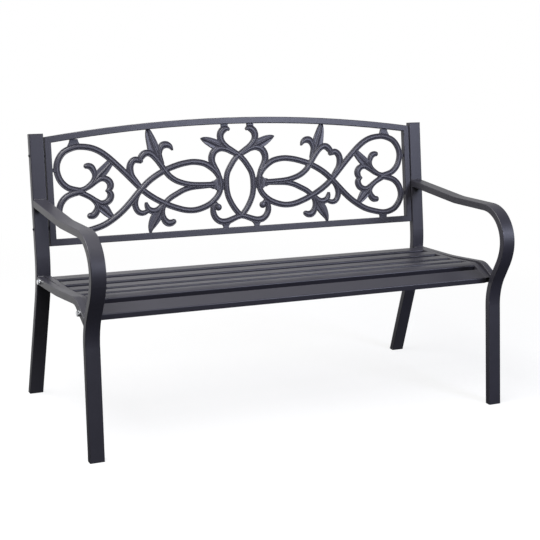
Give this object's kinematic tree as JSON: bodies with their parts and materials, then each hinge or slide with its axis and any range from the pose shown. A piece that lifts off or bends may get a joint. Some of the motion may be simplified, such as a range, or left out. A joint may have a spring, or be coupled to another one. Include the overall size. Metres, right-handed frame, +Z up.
{
  "type": "park bench",
  "caption": "Metal garden bench with bent-tube legs and armrests, a curved slatted seat and an arched back panel filled with cast scrollwork.",
  "frame": {"origin": "on the floor, at the middle of the bench's width and depth", "axes": "+X along the bench to the sitter's left, +Y from the front of the seat to the back panel, +Z up"},
  "size_m": [1.2866, 0.5676, 0.7916],
  "materials": {
    "powder_coat": "satin powder coat",
    "cast_coat": "satin powder coat on a casting",
    "plug_plastic": "matt moulded plastic",
    "zinc": "bright zinc plate"
  },
  "bodies": {
    "root": {"rear_post_left": "powder_coat", "rear_post_right": "powder_coat", "arm_leg_left": "powder_coat", "arm_leg_right": "powder_coat", "seat_rail_left": "powder_coat", "seat_rail_right": "powder_coat", "seat_side_bar_left": "powder_coat", "seat_side_bar_right": "powder_coat", "seat_slat_rear": "powder_coat", "seat_slat_2": "powder_coat", "seat_slat_3": "powder_coat", "seat_slat_4": "powder_coat", "seat_slat_5": "powder_coat", "seat_slat_front": "powder_coat", "seat_brace": "powder_coat", "back_top_rail": "powder_coat", "back_bottom_rail": "powder_coat", "back_stile_left": "powder_coat", "back_stile_right": "powder_coat", "scroll_casting": "cast_coat", "post_cap_left": "plug_plastic", "post_cap_right": "plug_plastic", "foot_front_left": "plug_plastic", "foot_front_right": "plug_plastic", "foot_rear_left": "plug_plastic", "foot_rear_right": "plug_plastic", "seat_bolts": "zinc", "seat_washers": "zinc", "seat_bar_plugs": "plug_plastic", "back_bolts": "zinc", "back_spacers": "plug_plastic", "back_rivet_nuts": "zinc"}
  },
  "joints": []
}
